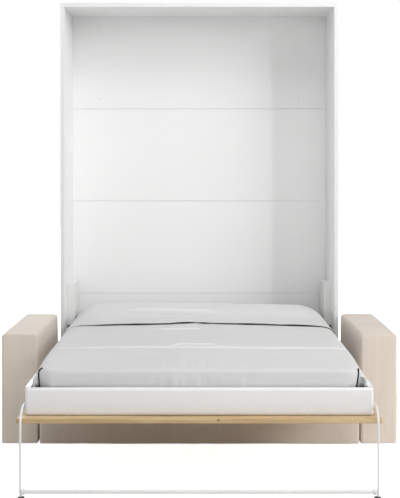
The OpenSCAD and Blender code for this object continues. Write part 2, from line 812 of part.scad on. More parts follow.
module duvet() {
    color(bedding) field_solid(duvet_xs, duvet_ys,
        [for (y = duvet_ys) [for (x = duvet_xs) duvet_over(x, y)]],
        [for (y = duvet_ys) [for (x = duvet_xs) duvet_low(x, y)]]);
}

// The cover layer turned down over the head half, with a soft wave along its edge
turn_rows = concat([fy - turn_y, fy - turn_y + 12, turn_back_y], pillow_rows,
    [duvet_head - 60, duvet_head - duvet_r]);
turn_xs = [for (x = duvet_xs) if (abs(x) < duvet_x - 15) x];

module turned_down_layer() {
    color(bedding) field_solid(turn_xs, turn_rows,
        [for (j = [0:len(turn_rows) - 1]) [for (x = turn_xs)
            duvet_over(x, turn_rows[j]) + 1 + turn_t * (j == 0 ? 0.45 : 1)]],
        [for (y = turn_rows) [for (x = turn_xs) duvet_over(x, y) + 1]]);
}

left() side_panel();  // side_panel_left
side_panel();  // side_panel_right
top_panel();
base_panel();
plinth();
back_board(1);  // back_board_1
back_board(2);  // back_board_2
back_board(3);  // back_board_3
back_board(4);  // back_board_4
back_joint_strips();
wall_screw_caps();
cabinet_glides();
cabinet_screws();
left() pivot_plate();  // pivot_plate_left
pivot_plate();  // pivot_plate_right
left() gas_mount();  // gas_mount_left
gas_mount();  // gas_mount_right
left() gas_cover();  // gas_cover_left
gas_cover();  // gas_cover_right
gas_cylinder(-1);  // gas_cylinder_left
gas_cylinder(1);  // gas_cylinder_right
gas_rod(-1);  // gas_rod_left
gas_rod(1);  // gas_rod_right
front_board(1);  // front_board_1
front_board(2);  // front_board_2
front_board(3);  // front_board_3
front_board(4);  // front_board_4
panel_battens();
left() frame_side();  // frame_side_left
frame_side();  // frame_side_right
foot_board();
head_board();
left() ledger();  // ledger_left
ledger();  // ledger_right
centre_beam();
slats();
slat_caps();
corner_brackets();
left() hinge_plate();  // hinge_plate_left
hinge_plate();  // hinge_plate_right
mattress();
duvet();
turned_down_layer();
left() pillow();  // pillow_left
pillow();  // pillow_right
foot_bolts();
left() foot_arm();  // foot_arm_left
foot_arm();  // foot_arm_right
foot_crossbar();
foot_pads();
left() sofa_arm();  // sofa_arm_left
sofa_arm();  // sofa_arm_right
left() arm_frame();  // arm_frame_left
arm_frame();  // arm_frame_right
seat_frame();
seat_front();
seat_straps();
left() seat_cushion();  // seat_cushion_left
seat_cushion();  // seat_cushion_right
sofa_hardware();
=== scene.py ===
import bpy, json, math
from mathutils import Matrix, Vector, noise


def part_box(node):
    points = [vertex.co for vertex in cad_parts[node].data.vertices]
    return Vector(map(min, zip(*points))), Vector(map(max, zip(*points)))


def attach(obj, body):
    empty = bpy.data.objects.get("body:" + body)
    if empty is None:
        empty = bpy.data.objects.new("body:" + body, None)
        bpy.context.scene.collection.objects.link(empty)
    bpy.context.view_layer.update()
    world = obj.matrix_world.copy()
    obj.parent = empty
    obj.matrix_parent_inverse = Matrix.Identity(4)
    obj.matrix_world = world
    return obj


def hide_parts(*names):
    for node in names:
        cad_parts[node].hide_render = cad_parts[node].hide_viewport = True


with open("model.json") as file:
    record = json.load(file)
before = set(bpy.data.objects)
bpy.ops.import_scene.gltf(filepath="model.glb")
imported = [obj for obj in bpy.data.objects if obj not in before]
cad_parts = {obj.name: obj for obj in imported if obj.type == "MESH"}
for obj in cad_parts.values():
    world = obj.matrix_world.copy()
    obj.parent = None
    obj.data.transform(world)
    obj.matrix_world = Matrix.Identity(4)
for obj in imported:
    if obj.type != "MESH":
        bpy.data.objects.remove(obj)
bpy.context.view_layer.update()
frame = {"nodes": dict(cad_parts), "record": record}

# Places that the rest is measured from, in metres
sideLow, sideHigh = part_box("side_panel_right")
frontY = sideLow.y
backY = sideHigh.y


def say(words):
    print("stage:", words)


# Camera: level, with its picture shifted down, as the photo was taken
cameraView = {"lens": 84.4, "shiftX": 0.0013, "shiftY": -0.1687, "height": 1.388, "distance": 6.607,
              "farthest": 60}


def makeCamera():
    lens = bpy.data.cameras.new("camera")
    lens.lens = cameraView["lens"]
    lens.shift_x = cameraView["shiftX"]
    lens.shift_y = cameraView["shiftY"]
    lens.clip_end = cameraView["farthest"]
    eye = bpy.data.objects.new("camera", lens)
    eye.location = (0, frontY - cameraView["distance"], cameraView["height"])
    eye.rotation_euler = (math.radians(90), 0, 0)
    bpy.context.collection.objects.link(eye)
    bpy.context.scene.camera = eye


makeCamera()
say("camera")


# Small helpers for working with the mesh tools
def dropAll():
    if bpy.context.mode != "OBJECT":
        bpy.ops.object.mode_set(mode="OBJECT")
    bpy.ops.object.select_all(action="DESELECT")


def take(obj):
    dropAll()
    obj.select_set(True)
    bpy.context.view_layer.objects.active = obj


def startEdit(obj, kind="FACE"):
    take(obj)
    bpy.ops.object.mode_set(mode="EDIT")
    bpy.ops.mesh.select_mode(type=kind)
    bpy.ops.mesh.select_all(action="DESELECT")


def endEdit():
    bpy.ops.object.mode_set(mode="OBJECT")


def pickFaces(obj, test):
    # faces are picked in object mode, then the edit mode tools act on them
    bpy.ops.object.mode_set(mode="OBJECT")
    for face in obj.data.polygons:
        face.select = test(face.center, face.normal)
    bpy.ops.object.mode_set(mode="EDIT")


def pickPoints(obj, test):
    bpy.ops.object.mode_set(mode="OBJECT")
    for point in obj.data.vertices:
        point.select = test(point.co)
    bpy.ops.object.mode_set(mode="EDIT")


def pickEdges(obj, test):
    bpy.ops.object.mode_set(mode="OBJECT")
    points = obj.data.vertices
    for edge in obj.data.edges:
        edge.select = test(points[edge.vertices[0]].co, points[edge.vertices[1]].co)
    bpy.ops.object.mode_set(mode="EDIT")


def applyAll(obj):
    take(obj)
    for modifier in list(obj.modifiers):
        bpy.ops.object.modifier_apply(modifier=modifier.name)


def bakePlace(obj):
    take(obj)
    bpy.ops.object.transform_apply(location=True, rotation=True, scale=True)


def addBox(name, low, high):
    low, high = Vector(low), Vector(high)
    dropAll()
    bpy.ops.mesh.primitive_cube_add(size=1, location=(low + high) / 2)
    obj = bpy.context.object
    obj.name = name
    obj.scale = high - low
    bakePlace(obj)
    return obj


def roundEdges(obj, width, segments, angle=30):
    tool = obj.modifiers.new("edges", "BEVEL")
    tool.width = width
    tool.segments = segments
    tool.limit_method = "ANGLE"
    tool.angle_limit = math.radians(angle)
    applyAll(obj)


def smooth(obj, angle):
    take(obj)
    bpy.ops.object.shade_smooth_by_angle(angle=math.radians(angle))


def flattenFaces(obj):
    # keeps the shading of large flat faces flat beside their eased edges
    weigh = obj.modifiers.new("flat_faces", "WEIGHTED_NORMAL")
    weigh.keep_sharp = True
    applyAll(obj)


def settle(obj, material, body, nodes=(), slotName=None):
    # gives a finished piece its material, the body that it rides on and the nodes that it stands for
    obj.data.materials.clear()
    obj.data.materials.append(material)
    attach(obj, body)
    if nodes:
        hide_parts(*nodes)


def bodyOf(node):
    for body, nodes in frame["record"]["behaviour"]["bodies"].items():
        if node in nodes:
            return body


# Materials
class Surface:
    # a short way to wire a material's nodes
    def __init__(self, name, color, rough, **shader):
        self.material = bpy.data.materials.new(name)
        self.material.use_nodes = True
        self.tree = self.material.node_tree
        self.shader = self.tree.nodes["Principled BSDF"]
        self.shader.inputs["Base Color"].default_value = (*color, 1)
        self.shader.inputs["Roughness"].default_value = rough
        for socket, value in shader.items():
            self.shader.inputs[socket.replace("_", " ")].default_value = value
        self.place = self.add("ShaderNodeTexCoord").outputs["Object"]

    def add(self, kind, **settings):
        item = self.tree.nodes.new(kind)
        for key, value in settings.items():
            if key in item.inputs:
                item.inputs[key].default_value = value
            else:
                setattr(item, key, value)
        return item

    def link(self, source, target):
        self.tree.links.new(source, target)

    def mapped(self, scale):
        item = self.add("ShaderNodeMapping")
        item.inputs["Scale"].default_value = scale
        self.link(self.place, item.inputs["Vector"])
        return item.outputs["Vector"]

    def noise(self, scale, detail=3, rough=0.5, source=None, distortion=0):
        item = self.add("ShaderNodeTexNoise", Scale=scale, Detail=detail, Roughness=rough,
                        Distortion=distortion)
        self.link(source or self.place, item.inputs["Vector"])
        return item.outputs["Fac"]

    def spread(self, source, outLow=0.0, outHigh=1.0):
        # noise keeps to the middle of its range, so that part is stretched
        return self.level(source, 0.3, 0.7, outLow, outHigh)

    def ramp(self, source, stops):
        item = self.add("ShaderNodeValToRGB")
        ends = item.color_ramp.elements
        while len(ends) < len(stops):
            ends.new(0.5)
        for end, (at, color) in zip(ends, stops):
            end.position = at
            end.color = (*color, 1)
        self.link(source, item.inputs["Fac"])
        return item.outputs["Color"]

    def level(self, source, low, high, outLow=0.0, outHigh=1.0):
        item = self.add("ShaderNodeMapRange")
        item.inputs["From Min"].default_value = low
        item.inputs["From Max"].default_value = high
        item.inputs["To Min"].default_value = outLow
        item.inputs["To Max"].default_value = outHigh
        self.link(source, item.inputs["Value"])
        return item.outputs["Result"]

    def math(self, how, a, b):
        item = self.add("ShaderNodeMath", operation=how)
        for value, socket in ((a, item.inputs[0]), (b, item.inputs[1])):
            if isinstance(value, (int, float)):
                socket.default_value = value
            else:
                self.link(value, socket)
        return item.outputs["Value"]

    def mix(self, factor, a, b, how="MIX"):
        item = self.add("ShaderNodeMix", data_type="RGBA", blend_type=how)
        for value, socket in ((factor, item.inputs[0]), (a, item.inputs[6]), (b, item.inputs[7])):
            if isinstance(value, (int, float)):
                socket.default_value = value
            elif isinstance(value, tuple):
                socket.default_value = (*value, 1)
            else:
                self.link(value, socket)
        return item.outputs[2]

    def shaded(self, source, by):
        # the colour made darker by one factor
        return self.mix(1.0, source, tint((1, 1, 1), by), "MULTIPLY")

    def bump(self, height, strength, distance, under=None):
        # a look's bump is its strength and distance
        item = self.add("ShaderNodeBump", Strength=strength, Distance=distance)
        self.link(height, item.inputs["Height"])
        if under:
            self.link(under, item.inputs["Normal"])
        return item.outputs["Normal"]

    def color(self, source):
        self.link(source, self.shader.inputs["Base Color"])

    def rough(self, source, rough, uneven):
        # the noise takes the roughness from a little under its own value to a little over it
        under, over = uneven
        self.link(self.spread(source, rough + under, rough + over), self.shader.inputs["Roughness"])

    def normal(self, source):
        self.link(source, self.shader.inputs["Normal"])


def tint(color, by):
    return tuple(min(1, c * by) for c in color)


def whiteBoard():
    # satin laminate: faintly cloudy, with a press plate's fine texture, and shade painted on the boards'
    # front faces at the cabinet's front
    look = {"color": (0.875, 0.875, 0.873), "rough": 0.42, "uneven": (-0.05, 0.06), "unevenScale": 5,
            "cloud": 0.985, "cloudScale": 1.7, "paintedEdgeShade": 0.885, "edgeShadeFrom": 0.0010, "edgeShadeTo": 0.0004,
            "grain": 900, "grainBump": (0.12, 0.0004)}
    s = Surface("white_laminate", look["color"], look["rough"], Specular_IOR_Level=0.4)
    cloud = s.spread(s.noise(look["cloudScale"], 4))
    board = s.mix(cloud, tint(look["color"], look["cloud"]), look["color"])
    depth = s.add("ShaderNodeSeparateXYZ")
    s.link(s.place, depth.inputs["Vector"])
    # shade is painted on the boards' front faces, within about a millimetre of the cabinet's front
    paintedEdgeShade = s.level(depth.outputs["Y"], frontY + look["edgeShadeFrom"], frontY + look["edgeShadeTo"])
    s.color(s.mix(paintedEdgeShade, board, tint(look["color"], look["paintedEdgeShade"])))
    s.rough(s.noise(look["unevenScale"], 5), look["rough"], look["uneven"])
    s.normal(s.bump(s.noise(look["grain"], 2), *look["grainBump"]))
    return s.material


def whitePaint():
    # sprayed paint on the bed frame's boards, with a light orange peel
    look = {"color": (0.81, 0.814, 0.822), "rough": 0.38, "uneven": (-0.05, 0.06), "unevenScale": 7,
            "cloud": 0.98, "cloudScale": 2.3, "peel": 260, "peelBump": (0.10, 0.0006)}
    s = Surface("white_paint", look["color"], look["rough"], Specular_IOR_Level=0.4)
    cloud = s.spread(s.noise(look["cloudScale"], 3))
    s.color(s.mix(cloud, tint(look["color"], look["cloud"]), look["color"]))
    s.rough(s.noise(look["unevenScale"], 4), look["rough"], look["uneven"])
    s.normal(s.bump(s.noise(look["peel"], 2), *look["peelBump"]))
    return s.material


def oak():
    # grain runs along X: fine streaks over wide soft bands, loose growth rings, pores and a few small knots
    look = {"dark": (0.32, 0.198, 0.084), "mid": (0.52, 0.367, 0.19), "light": (0.685, 0.525, 0.306),
            "darkAt": 0.34, "midAt": 0.47, "lightAt": 0.62, "rough": 0.5, "uneven": (-0.08, 0.1),
            "streakBump": (0.25, 0.0006), "ringShare": 0.07, "ringStretch": (0.30, 3.3, 6), "ringBend": 9.0,
            "ringFrom": 0.92, "ringSharpness": 2.5, "poreScale": 30, "poreStretch": (2.5, 60, 90),
            "poreFrom": 0.60, "poreTo": 0.70, "poreShare": 0.5, "poreBump": (0.2, 0.0008),
            "knotStretch": (1.15, 2.7, 2.7), "knotFrom": 0.045, "knotTo": 0.02, "knotShade": 0.45,
            "edgeKnot": (0.079, -1.094, 0.329), "edgeKnotSize": 0.009, "edgeKnotCore": 0.4,
            "edgeKnotShade": 0.6}
    # each layer's share of the grain, and its noise's scale, detail, roughness, stretch and bend
    layers = {"broad": (0.34, 1.3, 3, 0.5, (0.7, 3.4, 6), 0.8),
              "middle": (0.26, 2.1, 4, 0.55, (0.8, 11, 16), 0.6),
              "streak": (0.34, 6, 8, 0.62, (0.7, 30, 44), 0.2)}
    s = Surface("oiled_oak", look["mid"], look["rough"], Specular_IOR_Level=0.35)
    noises = {}
    grain = 0
    for name, (share, scale, detail, rough, stretch, bend) in layers.items():
        noises[name] = s.noise(scale, detail, rough, s.mapped(stretch), bend)
        grain = s.math("ADD", grain, s.math("MULTIPLY", noises[name], share))
    rings = s.add("ShaderNodeTexWave", Scale=1.0, Distortion=look["ringBend"], Detail=3.0,
                  wave_type="BANDS", bands_direction="Y")
    s.link(s.mapped(look["ringStretch"]), rings.inputs["Vector"])
    sharp = s.math("POWER", rings.outputs["Fac"], look["ringSharpness"])
    ring = s.math("SUBTRACT", look["ringFrom"], sharp)
    grain = s.math("ADD", grain, s.math("MULTIPLY", ring, look["ringShare"]))
    base = s.ramp(grain, [(look["darkAt"], look["dark"]), (look["midAt"], look["mid"]),
                          (look["lightAt"], look["light"])])
    pores = s.noise(look["poreScale"], 2, 0.5, s.mapped(look["poreStretch"]))
    inPore = s.level(pores, look["poreFrom"], look["poreTo"])
    pored = s.mix(inPore, base, s.mix(look["poreShare"], base, look["dark"]))
    knots = s.add("ShaderNodeTexVoronoi", Scale=1.0, feature="F1")
    s.link(s.mapped(look["knotStretch"]), knots.inputs["Vector"])
    inKnot = s.level(knots.outputs["Distance"], look["knotFrom"], look["knotTo"])
    knotted = s.mix(inKnot, pored, tint(look["dark"], look["knotShade"]))
    near = s.add("ShaderNodeVectorMath", operation="DISTANCE")
    s.link(s.place, near.inputs[0])
    near.inputs[1].default_value = look["edgeKnot"]
    size = look["edgeKnotSize"]
    inEdgeKnot = s.level(near.outputs["Value"], size, look["edgeKnotCore"] * size)
    s.color(s.mix(inEdgeKnot, knotted, tint(look["dark"], look["edgeKnotShade"])))
    s.rough(noises["streak"], look["rough"], look["uneven"])
    s.normal(s.bump(pores, *look["poreBump"], s.bump(noises["streak"], *look["streakBump"])))
    return s.material


def birch():
    look = {"dark": (0.56, 0.41, 0.24), "light": (0.74, 0.60, 0.41), "darkAt": 0.3, "lightAt": 0.65,
            "rough": 0.55, "uneven": (-0.07, 0.07), "grainScale": 4, "grainStretch": (0.9, 16, 16),
            "grainBend": 0.4, "grainBump": (0.2, 0.0006)}
    s = Surface("birch", look["light"], look["rough"], Specular_IOR_Level=0.3)
    grain = s.noise(look["grainScale"], 7, 0.6, s.mapped(look["grainStretch"]), look["grainBend"])
    s.color(s.ramp(grain, [(look["darkAt"], look["dark"]), (look["lightAt"], look["light"])]))
    s.rough(grain, look["rough"], look["uneven"])
    s.normal(s.bump(grain, *look["grainBump"]))
    return s.material


def coatedSteel(name, color, rough):
    look = {"uneven": (-0.06, 0.08), "unevenScale": 18, "cloud": 0.95, "cloudScale": 6, "coat": 700,
            "coatBump": (0.2, 0.0003)}
    s = Surface(name, color, rough, Specular_IOR_Level=0.5)
    s.color(s.mix(s.spread(s.noise(look["cloudScale"], 3)), tint(color, look["cloud"]), color))
    s.rough(s.noise(look["unevenScale"], 4), rough, look["uneven"])
    s.normal(s.bump(s.noise(look["coat"], 2), *look["coatBump"]))
    return s.material


def zincSteel():
    look = {"color": (0.55, 0.56, 0.57), "rough": 0.34, "uneven": (-0.08, 0.12), "unevenScale": 30,
            "dull": 0.85, "bright": 1.1, "brushScale": 12, "brushStretch": (1, 40, 1),
            "brushBump": (0.12, 0.0003)}
    s = Surface("zinc_steel", look["color"], look["rough"], Metallic=1.0)
    scratch = s.noise(look["brushScale"], 4, 0.6, s.mapped(look["brushStretch"]))
    s.color(s.mix(s.spread(scratch), tint(look["color"], look["dull"]), tint(look["color"], look["bright"])))
    s.rough(s.noise(look["unevenScale"], 4), look["rough"], look["uneven"])
    s.normal(s.bump(scratch, *look["brushBump"]))
    return s.material


def plastic(name, color, rough):
    look = {"uneven": (-0.05, 0.08), "unevenScale": 40, "cloud": 0.97, "cloudScale": 3, "grain": 1200,
            "grainBump": (0.15, 0.0003)}
    s = Surface(name, color, rough, Specular_IOR_Level=0.45)
    s.color(s.mix(s.spread(s.noise(look["cloudScale"], 3)), tint(color, look["cloud"]), color))
    s.rough(s.noise(look["unevenScale"], 3), rough, look["uneven"])
    s.normal(s.bump(s.noise(look["grain"], 2), *look["grainBump"]))
    return s.material


def corduroy(name, color, pitch):
    # fine upright ribs across X, or across Y where the piece's "sideways" mark says that it faces along X
    look = {"rough": 0.85, "sheen": 0.3, "sheenRough": 0.45, "paintedValleyShade": 0.93, "ribShape": 0.7,
            "wander": 0.010, "wanderScale": 7, "patchLow": 0.95, "patchHigh": 1.04, "patchScale": 3.2,
            "streak": 0.93, "streakShare": 0.55, "streakStretch": (46, 46, 1.6), "fluff": 420,
            "fluffBump": (0.25, 0.0008), "ribBump": (0.25, 0.0010)}
    s = Surface(name, color, look["rough"], Specular_IOR_Level=0.2, Sheen_Weight=look["sheen"],
                Sheen_Roughness=look["sheenRough"])
    sideways = s.add("ShaderNodeAttribute", attribute_name="sideways").outputs["Fac"]
    place = s.add("ShaderNodeSeparateXYZ")
    s.link(s.place, place.inputs["Vector"])
    across = s.add("ShaderNodeMix", data_type="FLOAT")
    s.link(sideways, across.inputs[0])
    s.link(place.outputs["X"], across.inputs[2])
    s.link(place.outputs["Y"], across.inputs[3])
    wobble = s.math("MULTIPLY", s.noise(look["wanderScale"], 3), look["wander"])
    turns = s.math("MULTIPLY", s.math("ADD", across.outputs[0], wobble), 2 * math.pi / pitch)
    rib = s.math("POWER", s.level(s.math("SINE", turns, 0), -1, 1), look["ribShape"])
    patch = s.spread(s.noise(look["patchScale"], 4, 0.55))
    streaks = s.spread(s.noise(1, 4, 0.6, s.mapped(look["streakStretch"])))
    base = s.mix(patch, tint(color, look["patchLow"]), tint(color, look["patchHigh"]))
    base = s.mix(s.math("MULTIPLY", streaks, look["streakShare"]), base, s.shaded(base, look["streak"]))
    # shade is painted in the valleys between the ribs
    s.color(s.mix(rib, s.shaded(base, look["paintedValleyShade"]), base))
    s.normal(s.bump(s.noise(look["fluff"], 3), *look["fluffBump"], s.bump(rib, *look["ribBump"])))
    return s.material


def linen(name, color, strength=1.0):
    # plain weave: two crossed sets of fine threads, with slubs and a soft unevenness
    look = {"rough": 0.88, "uneven": (-0.06, 0.06), "sheen": 0.15, "sheenRough": 0.5, "thread": 1500,
            "threadBend": 1.5, "slub": 35, "slubStretch": (1, 14, 14), "soft": 24, "pressed": 1.17,
            "cloudLow": 0.972, "cloudHigh": 1.015, "cloudScale": 2.1,
            "slubBump": (0.10, 0.0006), "threadBump": (0.10, 0.0003), "softBump": (0.16, 0.004)}
    s = Surface(name, color, look["rough"], Specular_IOR_Level=0.18, Sheen_Weight=look["sheen"],
                Sheen_Roughness=look["sheenRough"])
    threads = []
    for axis in ("X", "Y"):
        wave = s.add("ShaderNodeTexWave", Scale=look["thread"] / 6.28, Distortion=look["threadBend"],
                     Detail=1.0, wave_type="BANDS", bands_direction=axis)
        s.link(s.place, wave.inputs["Vector"])
        threads.append(wave.outputs["Fac"])
    weave = s.math("ADD", threads[0], threads[1])
    slub = s.noise(look["slub"], 3, 0.6, s.mapped(look["slubStretch"]))
    soft = s.noise(look["soft"], 5, 0.55)
    cloud = s.spread(s.noise(look["cloudScale"], 4))
    paintedHighlight = s.add("ShaderNodeAttribute", attribute_name="paintedHighlight")
    plain = s.mix(cloud, tint(color, look["cloudLow"]), tint(color, look["cloudHigh"]))
    # a highlight is painted along the folds' crests, where the colour is lifted by the pressed factor
    s.color(s.mix(paintedHighlight.outputs["Fac"], plain, tint(color, look["pressed"])))
    s.rough(slub, look["rough"], look["uneven"])
    surface = None
    for height, bump in ((slub, "slubBump"), (weave, "threadBump"), (soft, "softBump")):
        share, distance = look[bump]
        surface = s.bump(height, share * strength, distance, surface)
    s.normal(surface)
    return s.material


laminate = whiteBoard()
paint = whitePaint()
oakWood = oak()
birchWood = birch()
whiteSteel = coatedSteel("white_powder_coat", (0.77, 0.77, 0.765), 0.35)
blackSteel = coatedSteel("black_gloss_paint", (0.022, 0.022, 0.024), 0.25)
zinc = zincSteel()
whitePlastic = plastic("white_plastic", (0.78, 0.78, 0.775), 0.45)
rubber = plastic("black_rubber", (0.03, 0.03, 0.03), 0.7)
sofaCloth = corduroy("ribbed_velour", (0.735, 0.648, 0.568), 0.0105)
bedCloth = linen("bed_linen", (0.668, 0.668, 0.666))
ticking = linen("mattress_ticking", (0.74, 0.74, 0.73))
piping = linen("dark_piping", (0.018, 0.018, 0.02), 0.6)
webbing = linen("elastic_webbing", (0.20, 0.18, 0.16), 1.5)
say("materials")

# Rigid nodes: each keeps its shape, merged and with its edges eased
edgeLook = {
    "boards": {"width": 0.0012, "segments": 2},
    "panel": {"width": 0.0015, "segments": 2},
    "wood": {"width": 0.0015, "segments": 1},
    "plates": {"width": 0.0004, "segments": 1},
    "covers": {"width": 0.0015, "segments": 2},
    "frame": {"width": 0.0035, "segments": 3},
}
# the foot board's outer corners are rounder than its other edges
roundCorners = {"foot_board": 0.014}
rigidNodes = {
    "boards": (laminate, "white_board", [
        "side_panel_left", "side_panel_right", "top_panel", "base_panel", "plinth", "back_board_1",
        "back_board_2", "back_board_3", "back_board_4", "back_joint_strips"]),
    "panel": (oakWood, "oak_veneer", ["front_board_1", "front_board_2", "front_board_3", "front_board_4"]),
    "wood": (birchWood, "birch", [
        "panel_battens", "ledger_left", "ledger_right", "centre_beam", "slats", "arm_frame_left",
        "arm_frame_right", "seat_frame"]),
    "plates": (zinc, "zinc_steel", [
        "pivot_plate_left", "pivot_plate_right", "gas_mount_left", "gas_mount_right", "corner_brackets",
        "hinge_plate_left", "hinge_plate_right"]),
    "covers": (whitePlastic, "white_plastic", ["gas_cover_left", "gas_cover_right"]),
    "frame": (paint, "white_board", ["frame_side_left", "frame_side_right", "foot_board", "head_board"]),
}
mendLook = {"merge": 0.00002, "flat": 0.5, "smoothTo": 35, "cornerSegments": 5}
# a point this near to its box's side lies on it, and a face that looks up or down by this much is level
onSide = 0.001
levelFace = 0.6


def easedCopy(node, width, segments):
    obj = bpy.data.objects.new(node + "_eased", frame["nodes"][node].data.copy())
    bpy.context.collection.objects.link(obj)
    obj.matrix_world = frame["nodes"][node].matrix_world.copy()
    bakePlace(obj)
    startEdit(obj, "VERT")
    bpy.ops.mesh.select_all(action="SELECT")
    bpy.ops.mesh.remove_doubles(threshold=mendLook["merge"])
    bpy.ops.mesh.dissolve_limited(angle_limit=math.radians(mendLook["flat"]))
    if node in roundCorners:
        low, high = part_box(node)

        def outerUpright(a, b):
            upright = abs(a.z - b.z) > (high.z - low.z) / 2
            atFront = max(a.y, b.y) < low.y + onSide
            return upright and atFront and abs(a.x) > high.x - onSide

        pickEdges(obj, outerUpright)
        bpy.ops.mesh.bevel(offset=roundCorners[node], segments=mendLook["cornerSegments"], affect="EDGES")
    endEdit()
    roundEdges(obj, width, segments)
    smooth(obj, mendLook["smoothTo"])
    flattenFaces(obj)
    return obj


for group, (material, slotName, nodes) in rigidNodes.items():
    for node in nodes:
        piece = easedCopy(node, **edgeLook[group])
        settle(piece, material, bodyOf(node), [node], slotName)
say("boards")

# Small parts keep their own solids
plainNodes = [
    (zinc, ["cabinet_screws", "foot_bolts", "sofa_hardware", "gas_rod_left", "gas_rod_right"]),
    (blackSteel, ["gas_cylinder_left", "gas_cylinder_right"]),
    (whitePlastic, ["wall_screw_caps"]),
    (rubber, ["cabinet_glides", "slat_caps", "foot_pads"]),
    (webbing, ["seat_straps"]),
    (whiteSteel, ["foot_arm_left", "foot_arm_right", "foot_crossbar"]),
]
for material, nodes in plainNodes:
    for node in nodes:
        cad = frame["nodes"][node]
        cad.data.materials.clear()
        cad.data.materials.append(material)
        smooth(cad, mendLook["smoothTo"])
say("small parts")


# Soft goods start as rounded blocks of even small faces, which the functions below then shape
blockLook = {"planStep": 0.008, "fewest": 3, "topSegments": 4, "footSegments": 3, "calm": 3, "touch": 0.0001}


def roundedBlock(name, low, high, planRadius, topRadius, grain, footRadius):
    block = addBox(name, low, high)
    startEdit(block, "EDGE")

    def roundPicked(radius, segments):
        bpy.ops.mesh.bevel(offset=radius, segments=segments, affect="EDGES", clamp_overlap=True)

    pickEdges(block, lambda a, b: abs(a.z - b.z) > onSide)
    roundPicked(planRadius, max(blockLook["fewest"], int(planRadius / blockLook["planStep"])))
    pickEdges(block, lambda a, b: min(a.z, b.z) > high.z - blockLook["touch"])
    roundPicked(topRadius, blockLook["topSegments"])
    if footRadius:
        pickEdges(block, lambda a, b: max(a.z, b.z) < low.z + blockLook["touch"])
        roundPicked(footRadius, blockLook["footSegments"])
    endEdit()
    even = block.modifiers.new("even", "REMESH")
    even.mode = "VOXEL"
    even.voxel_size = grain
    calm = block.modifiers.new("calm", "SMOOTH")
    calm.iterations = blockLook["calm"]
    applyAll(block)
    return block


def reshape(obj, place):
    # moves each point to where the function says, given its place and the direction that it faces
    points = obj.data.vertices
    moved = [place(point.co.copy(), point.normal.copy()) for point in points]
    for point, co in zip(points, moved):
        point.co = co
    obj.data.update()


def mark(obj, name, value):
    # keeps a number from 0 to 1 at each point, which a material reads
    notes = obj.data.attributes.get(name) or obj.data.attributes.new(name, "FLOAT", "POINT")
    notes.data.foreach_set("value", [min(1.0, value(point)) for point in obj.data.vertices])


def ease(value, start, end):
    t = min(1.0, max(0.0, (value - start) / (end - start)))
    return t * t * (3 - 2 * t)


def ridge(value, at, width):
    return math.exp(-((value - at) / width) ** 2)


def rollOver(near):
    # how far a quarter circle has dropped, from 1 at its edge to 0 at its top
    return 1 - math.sqrt(1 - (1 - min(1.0, max(0.0, near))) ** 2)


def softNoise(x, y, scale, stretch=1.0, seed=0.0):
    return noise.noise(Vector((x * scale, y * scale * stretch, 3.7 + seed)))


def lineNoise(x, scale, row=0, seed=0.0):
    # noise along one row, so that lines with different rows differ
    return softNoise(x, row, scale, seed=seed)


def dropFaces(obj, test):
    startEdit(obj)
    pickFaces(obj, test)
    bpy.ops.mesh.delete(type="FACE")
    endEdit()


def refine(obj, test):
    # halves the faces where a fold is sharper than the even grain
    startEdit(obj)
    pickFaces(obj, test)
    bpy.ops.mesh.subdivide(number_cuts=1)
    endEdit()


def thicken(obj, thickness):
    wall = obj.modifiers.new("wall", "SOLIDIFY")
    wall.thickness = thickness
    wall.offset = -1
    applyAll(obj)


def twin(obj, name):
    dropAll()
    other = obj.copy()
    other.data = obj.data.copy()
    other.name = name
    bpy.context.collection.objects.link(other)
    return other


softAngle = 60


def cordAlong(name, places, radius, material, body):
    # a thin round cord through the places given
    curve = bpy.data.curves.new(name, "CURVE")
    curve.dimensions = "3D"
    line = curve.splines.new("NURBS")
    line.points.add(len(places) - 1)
    for point, place in zip(line.points, places):
        point.co = (*place, 1)
    line.use_endpoint_u = True
    line.order_u = 3
    roundCurve(curve, radius)
    obj = bpy.data.objects.new(name, curve)
    bpy.context.collection.objects.link(obj)
    take(obj)
    bpy.ops.object.convert(target="MESH")
    obj = bpy.context.object
    smooth(obj, softAngle)
    settle(obj, material, body)


def roundCurve(curve, radius):
    curve.bevel_depth = radius
    curve.bevel_resolution = 2
    curve.use_fill_caps = True


def edgeCord(name, obj, test, radius, thick, shift, material):
    # a cord along the open edge of a sheet, as thick at each place as the function says
    rim = twin(obj, name)
    startEdit(rim, "EDGE")
    bpy.ops.mesh.select_non_manifold(extend=False, use_wire=False, use_multi_face=False,
                                     use_non_contiguous=False, use_verts=False)
    bpy.ops.mesh.select_all(action="INVERT")
    bpy.ops.mesh.delete(type="EDGE_FACE")
    bpy.ops.mesh.select_mode(type="VERT")
    pickPoints(rim, lambda co: not test(co))
    bpy.ops.mesh.delete(type="VERT")
    endEdit()
    take(rim)
    bpy.ops.object.convert(target="CURVE")
    for line in rim.data.splines:
        for point in line.points:
            point.radius = thick(point.co.x)
            point.co.xyz += Vector(shift)
    roundCurve(rim.data, radius)
    bpy.ops.object.convert(target="MESH")
    smooth(rim, softAngle)
    settle(rim, material, "bed")


# The made-up bed: mattress, pillows, coverlet and the layer turned down over the pillows
duvetLow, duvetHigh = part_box("duvet")
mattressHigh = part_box("mattress")[1]
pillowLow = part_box("pillow_right")[0]
coverlet = {"planRadius": 0.09, "topRadius": 0.019, "thickness": 0.005, "inset": 0.004, "endGap": 0.001,
            "depth": 0.085, "overMattress": 0.012, "grain": 0.010, "quickGrain": 0.014, "waver": 0.0022,
            "waverScale": 9, "crown": 0.008, "footFall": 0.014, "footFallAt": -0.60, "footFallOver": 0.36,
            "sideFall": 0.032, "sideRoll": 0.075, "edgeEase": (0.004, 0.05), "topEase": (-0.06, -0.012),
            "cornerEase": (-0.035, -0.008), "highlightEase": (-0.03, 0.0), "footShare": 0.7, "footRow": 0.02,
            "openBelow": 0.02, "fill": 0.5}
coverTop = mattressHigh.z + coverlet["overMattress"]

